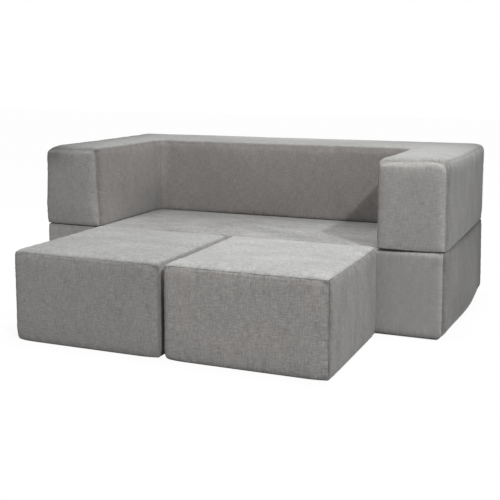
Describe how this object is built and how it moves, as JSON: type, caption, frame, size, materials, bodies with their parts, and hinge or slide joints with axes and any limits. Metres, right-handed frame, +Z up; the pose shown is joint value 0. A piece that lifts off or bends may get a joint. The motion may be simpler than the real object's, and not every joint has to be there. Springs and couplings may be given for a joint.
{
  "type": "modular foam sofa",
  "caption": "Modular foam play sofa: a seat base with fold-over back and arms and loose ottomans, in zipped grey velour covers.",
  "frame": {"origin": "centre of the seat base's underside, on the floor", "axes": "+X towards the right arm as seen from the front, +Y towards the back, +Z up"},
  "size_m": [1.51, 1.2643, 0.5852],
  "materials": {
    "cover_velour": "matte",
    "foam": "matte",
    "grip_cloth": "matte",
    "zip_tape": "matte",
    "zip_coil": "satin",
    "zip_metal": "satin",
    "hinge_cloth": "matte"
  },
  "bodies": {
    "base": {"base_foam": "foam", "base_cover": "cover_velour", "base_grip_sheet": "grip_cloth", "base_zip_tapes": "zip_tape", "base_zip_teeth": "zip_coil", "base_zip_stops": "zip_metal", "hinge_lower_leaf": "hinge_cloth"},
    "back_and_arms": {"back_foam": "foam", "left_arm_foam": "foam", "right_arm_foam": "foam", "back_cover": "cover_velour", "back_zip_tapes": "zip_tape", "back_zip_teeth": "zip_coil", "back_zip_stops": "zip_metal", "hinge_upper_leaf": "hinge_cloth"},
    "left_ottoman": {"left_ottoman_foam": "foam", "left_ottoman_cover": "cover_velour", "left_ottoman_grip_sheet": "grip_cloth", "left_ottoman_zip_tapes": "zip_tape", "left_ottoman_zip_teeth": "zip_coil", "left_ottoman_zip_stops": "zip_metal"},
    "right_ottoman": {"right_ottoman_foam": "foam", "right_ottoman_cover": "cover_velour", "right_ottoman_grip_sheet": "grip_cloth", "right_ottoman_zip_tapes": "zip_tape", "right_ottoman_zip_teeth": "zip_coil", "right_ottoman_zip_stops": "zip_metal"},
    "base_zip_slider": {"base_zip_slider": "zip_metal"},
    "back_zip_slider": {"back_zip_slider": "zip_metal"},
    "left_ottoman_zip_slider": {"left_ottoman_zip_slider": "zip_metal"},
    "right_ottoman_zip_slider": {"right_ottoman_zip_slider": "zip_metal"}
  },
  "joints": [
    {"name": "back_fold", "type": "hinge", "parent": "base", "child": "back_and_arms", "pos_m": [0, 0.377, 0.29015], "axis": [-1, 0, 0], "range_deg": [0, 180]},
    {"name": "left_ottoman_slide", "type": "slide", "parent": "base", "child": "left_ottoman", "axis": [0, -1, 0], "range_m": [0, 0.6]},
    {"name": "right_ottoman_slide", "type": "slide", "parent": "base", "child": "right_ottoman", "axis": [0, -1, 0], "range_m": [0, 0.6]},
    {"name": "base_zip_run", "type": "slide", "parent": "base", "child": "base_zip_slider", "axis": [-1, 0, 0], "range_m": [0, 1.288], "deforming": ["base_zip_teeth"]},
    {"name": "back_zip_run", "type": "slide", "parent": "back_and_arms", "child": "back_zip_slider", "axis": [-1, 0, 0], "range_m": [0, 1.228], "deforming": ["back_zip_teeth"]},
    {"name": "left_ottoman_zip_run", "type": "slide", "parent": "left_ottoman", "child": "left_ottoman_zip_slider", "axis": [-1, 0, 0], "range_m": [0, 0.388], "deforming": ["left_ottoman_zip_teeth"]},
    {"name": "right_ottoman_zip_run", "type": "slide", "parent": "right_ottoman", "child": "right_ottoman_zip_slider", "axis": [-1, 0, 0], "range_m": [0, 0.388], "deforming": ["right_ottoman_zip_teeth"]}
  ]
}
